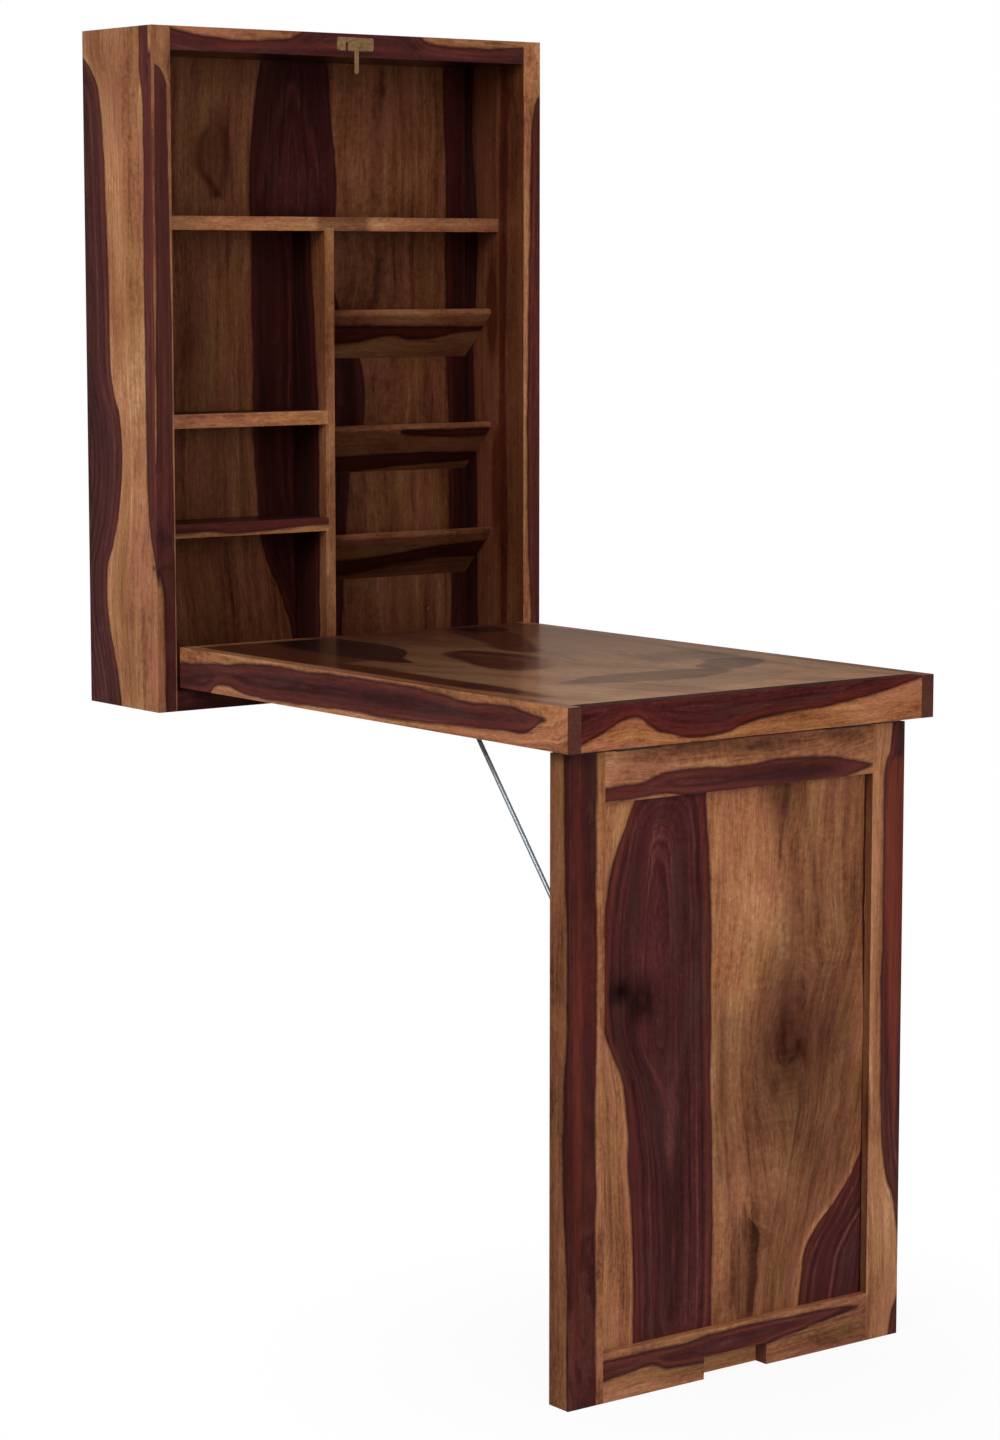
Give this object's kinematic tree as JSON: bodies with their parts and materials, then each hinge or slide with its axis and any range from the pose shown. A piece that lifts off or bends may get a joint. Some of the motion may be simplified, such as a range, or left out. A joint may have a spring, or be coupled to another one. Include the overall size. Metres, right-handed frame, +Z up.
{
  "type": "fold down wall desk",
  "caption": "Shallow wooden wall cabinet with shelves and letter pockets, whose hollow front folds down as a desktop on a framed folding leg, held by a steel stay and shut by a brass latch.",
  "frame": {"origin": "centre of the four wall screw holes, on the plane of the cabinet's back", "axes": "+X to the right as seen from the front, +Y into the wall, +Z up"},
  "size_m": [0.576, 0.9145, 1.496],
  "materials": {
    "sheesham": "gloss lacquer",
    "beech": "plain",
    "steel": "satin",
    "brass": "satin"
  },
  "bodies": {
    "cabinet": {"back_panel": "sheesham", "bottom_board": "sheesham", "cabinet_dowels": "beech", "centre_divider": "sheesham", "desk_hinge_1_cabinet_leaf": "steel", "desk_hinge_1_pin": "steel", "desk_hinge_2_cabinet_leaf": "steel", "desk_hinge_2_pin": "steel", "desk_hinge_3_cabinet_leaf": "steel", "desk_hinge_3_pin": "steel", "desk_hinge_cabinet_screws": "steel", "hanging_rail_lower": "sheesham", "hanging_rail_upper": "sheesham", "latch_plate": "brass", "latch_rivet": "brass", "latch_screws": "brass", "left_shelf_lower": "sheesham", "left_shelf_upper": "sheesham", "left_side_panel": "sheesham", "pocket_slat_lower": "sheesham", "pocket_slat_middle": "sheesham", "pocket_slat_upper": "sheesham", "right_side_panel": "sheesham", "top_board": "sheesham", "upper_shelf": "sheesham"},
    "desktop": {"desk_end_rail": "sheesham", "desk_hinge_1_desk_leaf": "steel", "desk_hinge_2_desk_leaf": "steel", "desk_hinge_3_desk_leaf": "steel", "desk_hinge_desk_screws": "steel", "desk_hinge_rail": "sheesham", "desk_left_rail": "sheesham", "desk_right_rail": "sheesham", "desktop_board": "sheesham", "leg_hinge_1_desk_leaf": "steel", "leg_hinge_1_pin": "steel", "leg_hinge_2_desk_leaf": "steel", "leg_hinge_2_pin": "steel", "leg_hinge_desk_screws": "steel", "stay_keeper": "steel", "stay_keeper_screws": "steel"},
    "leg": {"leg_bottom_rail": "sheesham", "leg_hinge_1_leg_leaf": "steel", "leg_hinge_2_leg_leaf": "steel", "leg_hinge_leg_screws": "steel", "leg_left_stile": "sheesham", "leg_panel": "sheesham", "leg_right_stile": "sheesham", "leg_top_rail": "sheesham"},
    "stay": {"stay_rod": "steel"},
    "latch": {"latch_tongue": "brass"}
  },
  "joints": [
    {"name": "desk_fold", "type": "hinge", "parent": "cabinet", "child": "desktop", "pos_m": [0, -0.16, -0.3885], "axis": [-1, 0, 0], "range_deg": [0, 90]},
    {"name": "leg_fold", "type": "hinge", "parent": "desktop", "child": "leg", "pos_m": [0, -0.894, -0.3885], "axis": [1, 0, 0], "range_deg": [0, 90]},
    {"name": "stay_swing", "type": "hinge", "parent": "leg", "child": "stay", "pos_m": [-0.186, -0.865, -0.6495], "axis": [-1, 0, 0], "range_deg": [0, 140.5]},
    {"name": "latch_swing", "type": "hinge", "parent": "cabinet", "child": "latch", "pos_m": [0.003, -0.16, 0.3845], "axis": [0, 1, 0], "range_deg": [-90, 90]}
  ],
  "couplings": [
    {"joint": "stay_swing", "follows": "leg_fold", "ratio": 1.56}
  ]
}
